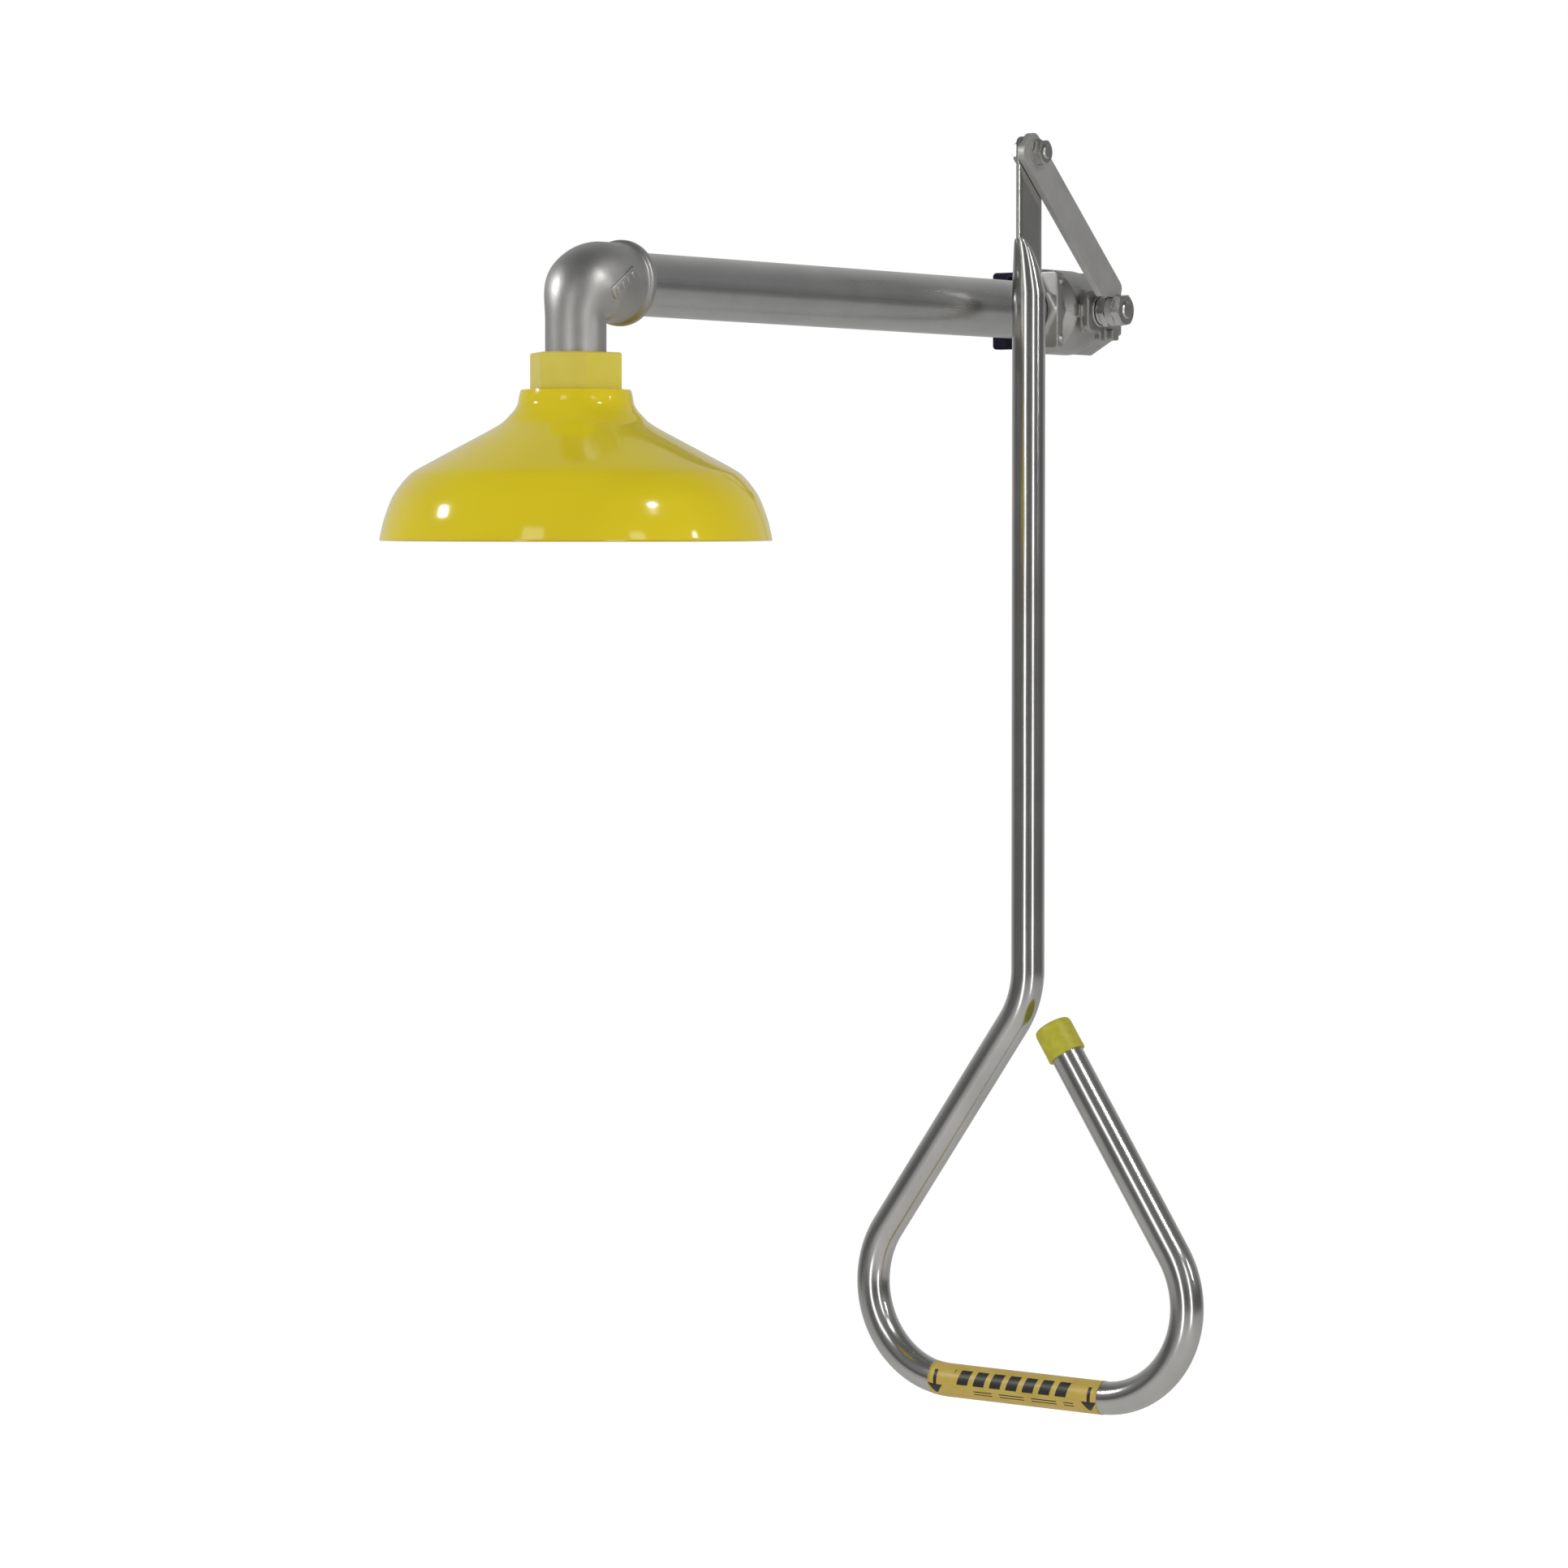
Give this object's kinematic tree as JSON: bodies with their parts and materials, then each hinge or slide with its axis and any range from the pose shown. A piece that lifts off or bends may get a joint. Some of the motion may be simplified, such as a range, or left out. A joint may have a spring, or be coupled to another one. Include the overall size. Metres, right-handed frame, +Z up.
{
  "type": "emergency safety shower",
  "caption": "Wall-fed drench shower with a ball valve, a horizontal arm, a bell-shaped rose and a lever worked by a pull rod with a triangular handle.",
  "frame": {"origin": "centre of the valve's inlet face, where the supply pipe screws in", "axes": "+Z up, +Y towards the wall along the inlet thread, +X along the valve stem; the arm runs towards -Y"},
  "size_m": [0.2575, 0.612, 0.7314],
  "materials": {
    "cast_stainless": "bead blasted investment casting",
    "ptfe": "white seat and seal plastic",
    "polished_stainless": "polished stainless steel",
    "machined_stainless": "bright machined stainless steel",
    "brushed_bar": "brushed flat bar",
    "bronze": "sintered bronze",
    "yellow_vinyl": "dipped yellow vinyl",
    "printed_vinyl": "printed yellow vinyl film",
    "satin_pipe": "satin drawn pipe",
    "moulded_yellow": "moulded yellow plastic",
    "gloss_yellow": "glossy yellow plastic"
  },
  "bodies": {
    "valve_and_arm": {"valve_body": "cast_stainless", "valve_end_piece": "cast_stainless", "body_gasket": "ptfe", "seat_rings": "ptfe", "stem_packing": "ptfe", "thrust_washer": "ptfe", "gland_follower": "machined_stainless", "arm_pipe": "satin_pipe", "elbow": "cast_stainless", "rose_socket": "moulded_yellow", "rose_shell": "gloss_yellow", "rose_locknut": "moulded_yellow", "flow_disc": "moulded_yellow", "deflector_posts": "moulded_yellow", "deflector_plate": "gloss_yellow", "deflector_screws": "machined_stainless"},
    "lever_set": {"ball": "polished_stainless", "stem": "machined_stainless", "disc_springs": "machined_stainless", "gland_nut": "machined_stainless", "lever": "brushed_bar", "stem_washer": "machined_stainless", "stem_nut": "machined_stainless", "pivot_bolt": "machined_stainless", "pivot_washer": "machined_stainless", "pivot_nut": "machined_stainless"},
    "rod": {"pull_rod": "polished_stainless", "pivot_bush": "bronze", "rod_end_cap": "yellow_vinyl", "grip_label": "printed_vinyl"}
  },
  "joints": [
    {"name": "lever_swing", "type": "hinge", "parent": "valve_and_arm", "child": "lever_set", "pos_m": [0, -0.042, 0], "axis": [1, 0, 0], "range_deg": [0, 90]},
    {"name": "rod_hang", "type": "hinge", "parent": "lever_set", "child": "rod", "pos_m": [0.038, -0.129, 0.087], "axis": [1, 0, 0], "range_deg": [-90, 0]}
  ],
  "couplings": [
    {"joint": "rod_hang", "follows": "lever_swing", "ratio": -1}
  ]
}
